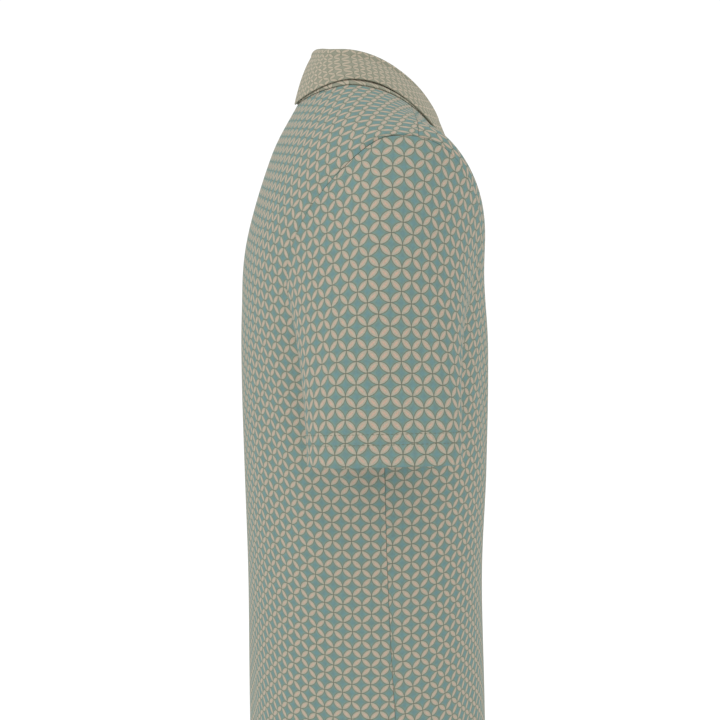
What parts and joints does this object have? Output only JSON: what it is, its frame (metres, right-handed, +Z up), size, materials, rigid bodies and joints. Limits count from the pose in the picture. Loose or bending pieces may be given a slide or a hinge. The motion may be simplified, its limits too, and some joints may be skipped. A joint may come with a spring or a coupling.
{
  "type": "polo shirt",
  "caption": "Short-sleeved knitted polo shirt, worn shape, open at neck, hem and cuffs, with a rolled fall collar, buttoned placket and set-in sleeves; overlapping-circle print.",
  "frame": {"origin": "middle of the neck hole, at the height where the shoulders meet the collar: where the wearer's neck holds the shirt", "axes": "+Z up along the wearer's neck, the chest faces -Y, the wearer's left is +X"},
  "size_m": [0.5872, 0.2375, 0.7305],
  "materials": {
    "printed_jersey": "smooth matt knitted jersey with a printed repeat of overlapping circles, tan petals on grey teal",
    "collar_jersey": "the same jersey, two layers, its print seen smaller and paler",
    "button_resin": "cast resin, softly polished"
  },
  "bodies": {
    "root": {"front": "printed_jersey", "back": "printed_jersey", "sleeve_right": "printed_jersey", "sleeve_left": "printed_jersey", "collar": "collar_jersey", "placket_upper": "printed_jersey", "placket_under": "printed_jersey", "button_1": "button_resin", "button_2": "button_resin", "button_3": "button_resin"}
  },
  "joints": []
}
